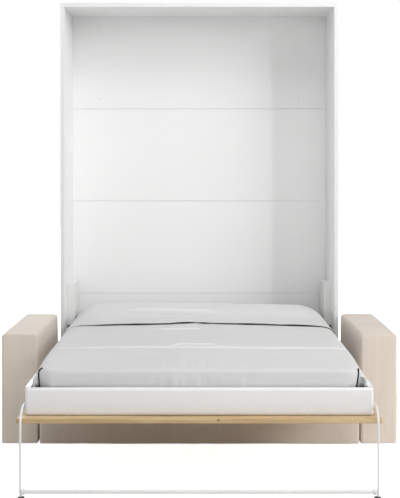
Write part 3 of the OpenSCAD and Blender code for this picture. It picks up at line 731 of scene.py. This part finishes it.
humpLook = {"height": 0.041, "lean": 0.010, "startsBefore": 0.12, "fullAfter": 0.035, "backShare": 0.55,
            "backEase": (-0.02, 0.20), "rightEase": (-0.005, 0.135), "leftEase": (0.02, 0.13),
            "leftRollAt": 0.03, "leftRoll": 0.11, "dent": 0.004, "dentBehind": 0.11, "dentWidth": 0.05,
            "dentEase": (0.35, 0.55)}


def hump(x, y):
    # how far the pillows lift what lies on them, a little more on the left
    h = humpLook
    side = duvetHigh.x - abs(x)
    if x > 0:
        across = ease(side, *h["rightEase"])
    else:
        rolled = 1 - rollOver((side - h["leftRollAt"]) / h["leftRoll"])
        across = (ease(side, *h["leftEase"]) + rolled) / 2
    along = ease(y, pillowLow.y - h["startsBefore"], pillowLow.y + h["fullAfter"])
    back = ease(duvetHigh.y - y, *h["backEase"])
    dent = h["dent"] * ridge(y, pillowLow.y + h["dentBehind"], h["dentWidth"]) * ease(-x, *h["dentEase"])
    height = h["height"] - h["lean"] * x
    return height * across * along * (1 - h["backShare"] * (1 - back)) - dent


# Wrinkles over the foot: place, lean, height, width and reach along the bed
footFolds = [
    (-0.215, 0.10, 0.0022, 0.016, 0.34),
    (-0.165, 0.05, 0.0030, 0.013, 0.22),
    (-0.115, 0.10, 0.0044, 0.015, 0.40),
    (-0.078, -0.04, 0.0042, 0.011, 0.46),
    (-0.015, 0.06, 0.0050, 0.013, 0.42),
    (0.012, -0.02, 0.0026, 0.010, 0.20),
    (0.045, -0.08, 0.0034, 0.013, 0.36),
    (0.095, -0.14, 0.0026, 0.012, 0.28),
    (0.185, -0.16, 0.0044, 0.014, 0.40),
]
wrinkleLook = {"wander": 0.012, "wanderScale": 6, "fadeShare": 0.8, "strength": 0.45, "breaks": 0.9,
               "breakScale": 11, "breakSpread": 9, "hollow": 0.6, "hollowAt": 1.9, "hollowWidth": 1.2}


def footWrinkles(x, y):
    # soft wrinkles in the middle of the bed that run down over the foot, each with a hollow beside it
    w = wrinkleLook
    lift = 0
    for at, lean, height, width, reach in footFolds:
        line = at + lean * (y - duvetLow.y) + w["wander"] * softNoise(at, y, w["wanderScale"])
        fade = ease(duvetLow.y + reach - y, 0.0, reach * w["fadeShare"])
        fade *= max(0.0, w["strength"] + w["breaks"] * softNoise(at * w["breakSpread"], y, w["breakScale"]))
        hollow = w["hollow"] * ridge(x, line + w["hollowAt"] * width, width * w["hollowWidth"])
        lift += height * fade * (ridge(x, line, width) - hollow)
    return lift


# Pressed folds across the bed: the crease, its branch, the curved fold and the fold before the pillows
# the back slope's share of a fold's width, then where before the fold's line the painted highlight sits and
# how wide it is
pressedLook = {"backSlope": 2.2, "highlightBefore": 0.4, "highlightWidth": 0.7}
creaseLook = {"at": -0.55, "height": 0.0085, "width": 0.008, "sway": 0.010, "swayScale": 2.2, "ripple": 0.006,
              "rippleScale": 9, "strength": 0.85, "uneven": 0.35, "unevenScale": 5, "hollow": 0.0022,
              "hollowBefore": 0.035, "hollowWidth": 0.022}
branchLook = {"away": 0.085, "leaves": (-0.20, -0.07), "starts": (-0.17, -0.10), "ends": 0.11,
              "endOver": 0.07, "strength": 0.9}
curvedLook = {"at": 0.045, "curl": 5.2, "power": 1.42, "curlFrom": -0.005, "sway": 0.010, "swayScale": 5,
              "width": 0.010, "starts": (-0.30, -0.16), "ends": 0.075, "endOver": 0.05, "strength": 0.9}
pillowFoldLook = {"before": 0.036, "lean": 0.03, "sway": 0.008, "swayScale": 4, "width": 0.012,
                  "starts": (-0.44, -0.33), "ends": 0.13, "endOver": 0.12, "height": 0.011}


def pressedFold(y, line, width, strength):
    # height of a pressed fold, which falls off faster towards the foot than towards the head, and the
    # strength of the highlight painted along the fold's top
    slope = width if y < line else pressedLook["backSlope"] * width
    highlightAt = line - pressedLook["highlightBefore"] * width
    return strength * ridge(y, line, slope), strength * ridge(y, highlightAt, pressedLook["highlightWidth"] * width)


def between(x, look):
    # a fold's strength along its length
    return ease(x, *look["starts"]) * ease(look["ends"] - x, 0.0, look["endOver"])


def coverFolds(x, y):
    c, b, v = creaseLook, branchLook, curvedLook
    straight = c["at"] + c["sway"] * lineNoise(x, c["swayScale"])
    straight -= c["ripple"] * lineNoise(x, c["rippleScale"], row=3)
    branch = straight + b["away"] * ease(x, *b["leaves"])
    curved = v["at"] - v["curl"] * max(0.0, x - v["curlFrom"]) ** v["power"]
    curved += v["sway"] * lineNoise(x, v["swayScale"], row=6)
    pressed = c["strength"] + c["uneven"] * lineNoise(x, c["unevenScale"], row=1)
    return [pressedFold(y, straight, c["width"], pressed),
            pressedFold(y, branch, c["width"], b["strength"] * between(x, b)),
            pressedFold(y, curved, v["width"], v["strength"] * between(x, v))]


def pillowFold(x, y):
    # a fold along the front of the pillows
    p = pillowFoldLook
    line = pillowLow.y - p["before"] - p["lean"] * x + p["sway"] * lineNoise(x, p["swayScale"], row=4)
    return pressedFold(y, line, p["width"], between(x, p))


# Soft swells: height, place, slope across the bed, width, and where each starts and ends
swells = [
    {"height": 0.0026, "at": 0.3748, "slope": 1.6, "width": 0.05, "starts": (-0.52, -0.43), "ends": -0.27,
     "endOver": 0.09},
    {"height": 0.0022, "at": -0.02, "slope": -0.5, "width": 0.035, "starts": (0.06, 0.14), "ends": 0.42,
     "endOver": 0.2},
]
unevenLook = {"broad": 0.0030, "broadScale": 2.3, "small": 0.0014, "smallScale": 7, "smallStretch": 0.6}


def creases(x, y):
    c, u = creaseLook, unevenLook
    lift = c["height"] * max(fold[0] for fold in coverFolds(x, y))
    lift -= c["hollow"] * ridge(y, c["at"] - c["hollowBefore"], c["hollowWidth"])
    for swell in swells:
        line = swell["at"] + swell["slope"] * x
        lift += swell["height"] * ridge(y, line, swell["width"]) * between(x, swell)
    lift += footWrinkles(x, y)
    lift += u["broad"] * softNoise(x, y, u["broadScale"])
    return lift + u["small"] * softNoise(x, y, u["smallScale"], u["smallStretch"], seed=5)


def coverHeight(x, y):
    c = coverlet
    inside = min(duvetHigh.x - abs(x), y - duvetLow.y, duvetHigh.y - y)
    crown = c["crown"] * (1 - (x / duvetHigh.x) ** 2)
    foot = c["footFall"] * ease(c["footFallAt"] - y, 0.0, c["footFallOver"])
    # the long sides roll down in a wide curve
    side = c["sideFall"] * rollOver((duvetHigh.x - abs(x)) / c["sideRoll"])
    return hump(x, y) - foot - side + (crown + creases(x, y)) * ease(inside, *c["edgeEase"])


def makeCoverlet():
    c = coverlet
    grain = c["grain"]
    low = Vector((duvetLow.x + c["inset"], duvetLow.y + c["endGap"], mattressHigh.z - c["depth"]))
    high = Vector((duvetHigh.x - c["inset"], duvetHigh.y - c["endGap"], coverTop))
    cover = roundedBlock("coverlet", low, high, c["planRadius"], c["topRadius"], grain, 0.0)
    dropFaces(cover, lambda at, facing: facing.z < -levelFace and at.z < low.z + c["openBelow"])
    refine(cover, nearFold)

    def place(co, facing):
        up = ease(co.z - high.z, *c["topEase"])
        onFoot = c["footShare"] * footWrinkles(co.x, duvetLow.y + c["footRow"]) * max(0.0, -facing.y)
        out = c["waver"] * noise.noise(co * c["waverScale"]) + onFoot
        co += Vector((facing.x, facing.y, 0)) * out * (1 - up)
        co += cornerFill(co, facing) * (1 - ease(co.z - high.z, *c["cornerEase"]))
        co.z += coverHeight(co.x, co.y) * up
        return co

    # how strongly the highlight is painted at each point, along the folds' crests, on the top only and fading
    # below it
    def paintedHighlight(point):
        x, y, z = point.co
        return max(fold[1] for fold in coverFolds(x, y)) * ease(z - coverTop, *c["highlightEase"])

    reshape(cover, place)
    mark(cover, "paintedHighlight", paintedHighlight)
    return cover


fillLook = {"from": 0.80, "to": 0.86, "aside": 0.95, "ahead": 0.92, "short": 0.008, "behind": 0.2}


def cornerFill(co, facing):
    # beside the foot corners' seams the cloth spreads out into the corners of the frame
    f = fillLook
    radius = coverlet["planRadius"]
    across = abs(facing.x)
    if facing.y > f["behind"]:
        return Vector((0, 0, 0))
    atFoot = ease(duvetLow.y + 2 * radius - co.y, 0.0, radius)
    ahead = f["ahead"] * (co.y - duvetLow.y - f["short"]) * atFoot
    aside = math.copysign(f["aside"] * radius * (1 - across), facing.x)
    return Vector((aside, -ahead, 0)) * ease(across, f["from"], f["to"])


# Where the coverlet has finer faces: the span across the bed, a line, and the span along the bed from it
finePlaces = {
    "crease": ((-1.0, 1.0), creaseLook["at"], (-0.035, 0.035)),
    "branch": ((-0.20, 0.13), creaseLook["at"], (-0.02, 0.14)),
    "curvedFold": ((-0.32, 0.10), 0.0, (-0.12, 0.10)),
    "pillowFold": ((-0.48, 0.15), pillowLow.y, (-0.075, 0.015)),
    "foot": ((-0.24, 0.24), 0.0, (-1.2, -0.72)),
}
fineFaces = {"top": 0.7, "foot": -0.5}


def nearFold(at, facing):
    if facing.z < fineFaces["top"] and facing.y > fineFaces["foot"]:
        return False
    return any(left < at.x < right and front < at.y - line < back
               for (left, right), line, (front, back) in finePlaces.values())


turned = {"edge": 0.2225, "drop": 0.05, "thickness": 0.0035, "gap": 0.0035, "gapWaver": 0.0012,
          "gapScale": 5, "lift": 0.0050, "liftOver": 0.22, "sideLoss": 0.8, "sideEase": (0.54, 0.68),
          "ruffle": 0.0030, "ruffleScale": 7, "topEase": (-0.02, 0.0), "cordsTo": 0.13, "fill": 0.3}
waveLook = {"middle": 0.036, "middleAt": -0.02, "middleWidth": 0.13, "sides": 0.024,
            "sidesEase": (0.18, 0.48), "ends": 0.03, "endsEase": (0.58, 0.70), "leftShare": 0.3,
            "waver": 0.010, "waverScale": 6, "tuck": 0.014, "tuckEase": (-0.16, -0.12), "tuckOver": 0.03}
hemCord = {"radius": 0.0048, "shift": (0, 0.004, -0.001), "size": 0.75, "uneven": 0.5, "unevenScale": 6}
pipingCord = {"radius": 0.0033, "shift": (0, -0.0062, -0.0035), "leftEnd": -0.64, "size": 0.95,
              "uneven": 0.9, "unevenScale": 9, "leftLoss": 0.7, "leftEase": (0.42, 0.56), "rightGain": 0.3,
              "rightEase": (0.45, 0.60), "shows": 0.6, "showsAt": [(-0.080, 0.040), (0.026, 0.022)],
              "sinks": 0.75, "sinksAt": (-0.018, 0.014)}
cornerCord = {"radius": 0.0037, "length": 0.084}


def turnedWave(x):
    # the front edge bows forward at its sides and back in the middle, with a small tuck beside the middle
    w = waveLook
    share = 1.0 if x > 0 else w["leftShare"]
    wave = w["middle"] * ridge(x, w["middleAt"], w["middleWidth"])
    wave -= share * (w["sides"] * ease(abs(x), *w["sidesEase"]) + w["ends"] * ease(abs(x), *w["endsEase"]))
    wave += w["waver"] * lineNoise(x, w["waverScale"], seed=2)
    return wave + w["tuck"] * ease(x, *w["tuckEase"]) * ease(-x, 0.0, w["tuckOver"])


def makeTurnedLayer(cover):
    # the head end of the coverlet's surface, lifted by its own thickness, with a wavy front edge
    t = turned
    layer = twin(cover, "turned_layer")
    startEdit(layer)
    for place, facing in (((0, t["edge"], 0), (0, 1, 0)), ((0, 0, mattressHigh.z - t["drop"]), (0, 0, 1))):
        bpy.ops.mesh.select_all(action="SELECT")
        bpy.ops.mesh.bisect(plane_co=place, plane_no=facing, clear_inner=True)
    endEdit()

    def lifted(co, facing):
        near = ease(t["edge"] + t["liftOver"] - co.y, 0.0, t["liftOver"])
        gap = t["gap"] + t["gapWaver"] * softNoise(co.x, co.y, t["gapScale"], seed=9)
        onTop = ease(co.z - coverTop, *t["topEase"])
        ruffle = t["ruffle"] * near * max(0.0, lineNoise(co.x, t["ruffleScale"], seed=3)) * onTop
        rise = t["lift"] * near * (1 - t["sideLoss"] * ease(abs(co.x), *t["sideEase"]))
        fold = pillowFoldLook["height"] * pillowFold(co.x, co.y)[0]
        return co + facing * (gap + ruffle + fold + rise) + Vector((0, turnedWave(co.x) * near, 0))

    reshape(layer, lifted)
    # the highlight painted along the pillow fold's top
    mark(layer, "paintedHighlight", lambda point: pillowFold(point.co.x, point.co.y)[1])
    return layer


def hemSize(x):
    h = hemCord
    return h["size"] + h["uneven"] * lineNoise(x, h["unevenScale"], row=2)


def pipingSize(x):
    # the piping shows more in two places beside the middle, and sinks in between them and at the left end
    p = pipingCord
    size = p["size"] + p["uneven"] * lineNoise(x, p["unevenScale"], row=7)
    size += p["rightGain"] * ease(x, *p["rightEase"]) - p["leftLoss"] * ease(-x, *p["leftEase"])
    shows = sum(ridge(x, at, width) for at, width in p["showsAt"])
    return size + p["shows"] * shows - p["sinks"] * ridge(x, *p["sinksAt"])


def makeCornerPiping(sign, topTurn, lowTurn, hook):
    # a foot corner's seam from its hook over the top down the corner, at its own angle round the corner
    radius = coverlet["planRadius"]
    aside = duvetHigh.x - coverlet["inset"] - radius
    top = coverTop - coverlet["footFall"]
    middle = Vector((sign * aside, duvetLow.y + coverlet["endGap"] + radius, top))
    route = [(-0.018 * hook, 0.000), (-0.009 * hook, -0.003), (-0.001, -0.010),
             (0.001, -0.026), (0.0, -0.050), (0.001, -cornerCord["length"])]
    places = []
    for step, fall in route:
        turn = math.radians(topTurn + (topTurn - lowTurn) * fall / cornerCord["length"])
        out = Vector((sign * math.sin(turn), -math.cos(turn), 0))
        places.append(middle + out * (radius + step) + Vector((0, 0, fall)))
    cordAlong("corner_piping", places, cornerCord["radius"], piping, "bed")


pillowLook = {"planRadius": 0.05, "topRadius": 0.012, "footRadius": 0.012, "grain": 0.012, "fullness": 3.2,
              "least": 0.22, "waver": 0.0015, "waverScale": 12, "sidesIn": 0.028, "endsIn": 0.020,
              "fill": 0.7}
mattressLook = {"planRadius": 0.086, "topRadius": 0.03, "footRadius": 0.02, "grain": 0.012, "inset": 0.010,
                "footFall": 0.0168, "footFallAt": -0.56, "footFallOver": 0.36, "topEase": (-0.08, -0.02),
                "quilt": 0.14, "tuck": 0.004, "tuckShape": 0.4, "fill": 0.9}


def makePillow(name, node):
    p = pillowLook
    low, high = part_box(node)
    middle = (low + high) / 2
    half = (high - low) / 2
    pillow = roundedBlock(name, low, high, p["planRadius"], p["topRadius"], p["grain"], p["footRadius"])

    def fullAt(share):
        return max(0.0, 1 - abs(share) ** p["fullness"]) ** 0.5

    def place(co, facing):
        u, v = (co.x - middle.x) / half.x, (co.y - middle.y) / half.y
        full = p["least"] + (1 - p["least"]) * fullAt(u) * fullAt(v)
        co.z = middle.z + (co.z - middle.z) * full + p["waver"] * noise.noise(co * p["waverScale"])
        co.x -= p["sidesIn"] * u * (1 - v * v)
        co.y -= p["endsIn"] * v * (1 - u * u)
        return co

    reshape(pillow, place)
    smooth(pillow, softAngle)
    settle(pillow, bedCloth, "bed", [node], "bed_linen")


def makeMattress():
    m = mattressLook
    low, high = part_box("mattress")
    mattress = roundedBlock("mattress_body", low, high, m["planRadius"], m["topRadius"], m["grain"],
                            m["footRadius"])

    def place(co, facing):
        # the foot end sinks, and shallow quilting on top has a tuck at each line
        onTop = ease(co.z - high.z, *m["topEase"])
        co.z -= m["footFall"] * ease(m["footFallAt"] - co.y, 0.0, m["footFallOver"]) * onTop
        if facing.z > levelFace:
            rows = abs(math.sin(co.x / m["quilt"] * math.pi))
            rows *= abs(math.sin((co.y - low.y) / m["quilt"] * math.pi))
            co.z -= m["tuck"] * (1 - rows ** m["tuckShape"])
        return co - Vector((facing.x, facing.y, 0)) * m["inset"]

    reshape(mattress, place)
    smooth(mattress, softAngle)
    settle(mattress, ticking, "bed", ["mattress"], "ticking")


def makeBedding():
    cover = makeCoverlet()
    layer = makeTurnedLayer(cover)
    front = turned["edge"] + turned["cordsTo"]
    edgeCord("turned_hem", layer, lambda co: co.y < front,
             hemCord["radius"], hemSize, hemCord["shift"], bedCloth)
    edgeCord("turned_piping", layer, lambda co: co.y < front and co.x > pipingCord["leftEnd"],
             pipingCord["radius"], pipingSize, pipingCord["shift"], piping)
    for sheet, node, look in ((cover, "duvet", coverlet), (layer, "turned_down_layer", turned)):
        thicken(sheet, look["thickness"])
        smooth(sheet, softAngle)
        settle(sheet, bedCloth, "bed", [node], "bed_linen")
    makeCornerPiping(-1, topTurn=53, lowTurn=47, hook=1.0)
    makeCornerPiping(1, topTurn=47, lowTurn=36, hook=0.25)
    makePillow("pillow_left_body", "pillow_left")
    makePillow("pillow_right_body", "pillow_right")
    makeMattress()


makeBedding()
say("bedding")

# Sofa: padded arms, front and cushions in ribbed cloth
sofaLook = {"grain": 0.0070, "waver": 0.0018, "waverScale": 4.5, "smallWaver": 0.0008, "smallScale": 13,
            "fullness": 2.5, "drawnIn": 0.3, "sink": 0.001, "footDrop": 0.003, "footHeight": 0.06,
            "topFace": 0.5, "sidewaysEase": (0.68, 0.74)}
padLook = {
    "arm": {"planRadius": 0.007, "topRadius": 0.012, "footRadius": 0.008, "fill": 0.9, "swell": 0.004},
    "cushion": {"planRadius": 0.045, "topRadius": 0.034, "footRadius": 0.03, "fill": 0.75, "swell": 0.012},
    "front": {"planRadius": 0.006, "topRadius": 0.006, "footRadius": 0.006, "fill": 0.9, "swell": 0.002},
}
armLook = {"rise": 0.009, "riseFrom": 0.7, "innerRoll": 0.032, "innerFall": 0.017, "outerRoll": 0.018,
           "outerFall": 0.015, "out": 0.004, "back": 0.004, "backEase": (0.3, 0.62)}


def armShape(co, middle, half, high):
    # the long top edges roll over, in a wide curve on the bed's side, and both sides stand out a little
    a = armLook
    side = "outer" if (co.x - middle.x) * middle.x > 0 else "inner"
    roll = rollOver((half.x - abs(co.x - middle.x)) / a[side + "Roll"])
    co.z += ease(co.z, a["riseFrom"] * high.z, high.z) * (a["rise"] - a[side + "Fall"] * roll)
    wide = math.copysign(1, middle.x)
    co.x += wide * a["out"] * ease(abs(co.x), abs(middle.x), abs(middle.x) + half.x)
    if side == "inner":
        co.x -= wide * a["back"] * ease(co.y, *a["backEase"]) * ease(abs(middle.x) - abs(co.x), 0, half.x)


def makePad(name, node, kind):
    s, p = sofaLook, padLook[kind]
    low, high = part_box(node)
    middle = (low + high) / 2
    half = (high - low) / 2
    pad = roundedBlock(name, low, high, p["planRadius"], p["topRadius"], s["grain"], p["footRadius"])

    def place(co, facing):
        # crowned in the middle of each side and drawn in at the edges
        u = [(co[i] - middle[i]) / half[i] for i in range(3)]
        give = s["waver"] * noise.noise(co * s["waverScale"])
        give += s["smallWaver"] * noise.noise(co * s["smallScale"])
        full = [max(0.0, 1 - abs(value) ** s["fullness"]) for value in u]
        crown = full[0] * full[1] * abs(facing.z) + full[0] * full[2] * abs(facing.y)
        crown += full[1] * full[2] * abs(facing.x)
        if kind == "arm":
            armShape(co, middle, half, high)
        if facing.z < s["topFace"]:
            co.z -= s["footDrop"] * ease(low.z + s["footHeight"] - co.z, 0.0, s["footHeight"])
        return co + facing * (p["swell"] * (crown - s["drawnIn"]) + give - s["sink"])

    reshape(pad, place)
    # 1 where the surface faces along X, for the direction of the cloth's ribs
    mark(pad, "sideways", lambda point: ease(abs(point.normal.x), *s["sidewaysEase"]))
    smooth(pad, softAngle)
    settle(pad, sofaCloth, "cabinet", [node], "corduroy")


def makeSofa():
    for side in ("left", "right"):
        makePad("arm_" + side, "sofa_arm_" + side, "arm")
        makePad("cushion_" + side, "seat_cushion_" + side, "cushion")
    makePad("front_pad", "seat_front", "front")


makeSofa()
say("sofa")

# Floor, backdrop and light
stageLook = {"size": 40, "floor": (0.93, 0.93, 0.93), "rough": 0.9, "cloud": 0.99, "cloudScale": 0.8,
             "nearGlow": 0.84, "farGlow": 1.0, "near": 0.8, "far": 2.4, "world": 0.335}
keyLook = {"power": 144, "angle": 36, "away": 9.0, "height": 5.8, "wide": 0.4, "tall": 5.4,
           "target": (0, 0.4, 1.0)}
# Power, size, place and target: left is for the cabinet's right side, and back for views from behind
lamps = {
    "front": (49, 3.0, (0, frontY - 8, 3.2), (0, 0, 0.9)),
    "top": (88, 3.0, (0.4, -2.2, 5.5), (0, 0, 0.5)),
    "right": (108, 2.5, (4.5, -2.5, 3.5), (0, 0, 0.8)),
    "left": (95, 1.6, (-9.0, -0.9, 2.6), (0.8, 0.6, 1.2)),
    "back": (110, 3.0, (-1.5, backY + 5.5, 2.4), (0, backY, 1.0)),
}


def makeFloor():
    look = stageLook
    dropAll()
    bpy.ops.mesh.primitive_plane_add(size=look["size"], location=(0, 0, 0))
    floor = bpy.context.object
    floor.name = "floor"
    s = Surface("pale_floor", look["floor"], look["rough"])
    cloud = s.spread(s.noise(look["cloudScale"], 3))
    s.color(s.mix(cloud, tint(look["floor"], look["cloud"]), look["floor"]))
    # to the camera it glows, more so away from the bed, so it is white and still takes the bed's shadow
    s.shader.inputs["Emission Color"].default_value = (1, 1, 1, 1)
    away = s.add("ShaderNodeVectorMath", operation="LENGTH")
    s.link(s.place, away.inputs[0])
    glow = s.level(away.outputs["Value"], look["near"], look["far"], look["nearGlow"], look["farGlow"])
    seen = s.math("MULTIPLY", s.add("ShaderNodeLightPath").outputs["Is Camera Ray"], glow)
    s.link(seen, s.shader.inputs["Emission Strength"])
    floor.data.materials.append(s.material)


def makeBackdrop():
    # white to the camera and in reflections, and a soft even light for everything else
    world = bpy.data.worlds.new("studio")
    world.use_nodes = True
    bpy.context.scene.world = world
    tree = world.node_tree
    soft = tree.nodes["Background"]
    white = tree.nodes.new("ShaderNodeBackground")
    for light, strength in ((soft, stageLook["world"]), (white, 1)):
        light.inputs["Color"].default_value = (1, 1, 1, 1)
        light.inputs["Strength"].default_value = strength
    rays = tree.nodes.new("ShaderNodeLightPath")
    seen = tree.nodes.new("ShaderNodeMath")
    seen.operation = "MAXIMUM"
    mixed = tree.nodes.new("ShaderNodeMixShader")
    tree.links.new(rays.outputs["Is Camera Ray"], seen.inputs[0])
    tree.links.new(rays.outputs["Is Glossy Ray"], seen.inputs[1])
    tree.links.new(seen.outputs[0], mixed.inputs[0])
    tree.links.new(soft.outputs[0], mixed.inputs[1])
    tree.links.new(white.outputs[0], mixed.inputs[2])
    tree.links.new(mixed.outputs[0], tree.nodes["World Output"].inputs["Surface"])


def addLamp(name, power, size, place, target, tall=0.0):
    data = bpy.data.lights.new(name, "AREA")
    data.energy = power
    data.shape = "RECTANGLE" if tall else "DISK"
    data.size = size
    if tall:
        data.size_y = tall
    lamp = bpy.data.objects.new(name, data)
    lamp.location = place
    lamp.rotation_euler = (Vector(target) - Vector(place)).to_track_quat("-Z", "Y").to_euler()
    bpy.context.collection.objects.link(lamp)


def makeKeyLamp():
    # a tall narrow window, whose light the cabinet's right edge cuts off across the back boards
    k = keyLook
    turn = math.radians(k["angle"])
    edge = Vector((sideLow.x, frontY, 0))
    away = Vector((math.sin(turn), -math.cos(turn), 0)) * k["away"]
    addLamp("key", k["power"], k["wide"], edge + away + Vector((0, 0, k["height"])), k["target"], k["tall"])


makeFloor()
makeBackdrop()
makeKeyLamp()
for name, (power, size, place, target) in lamps.items():
    addLamp(name, power, size, place, target)
bpy.context.scene.view_settings.view_transform = "Standard"
say("stage and light")
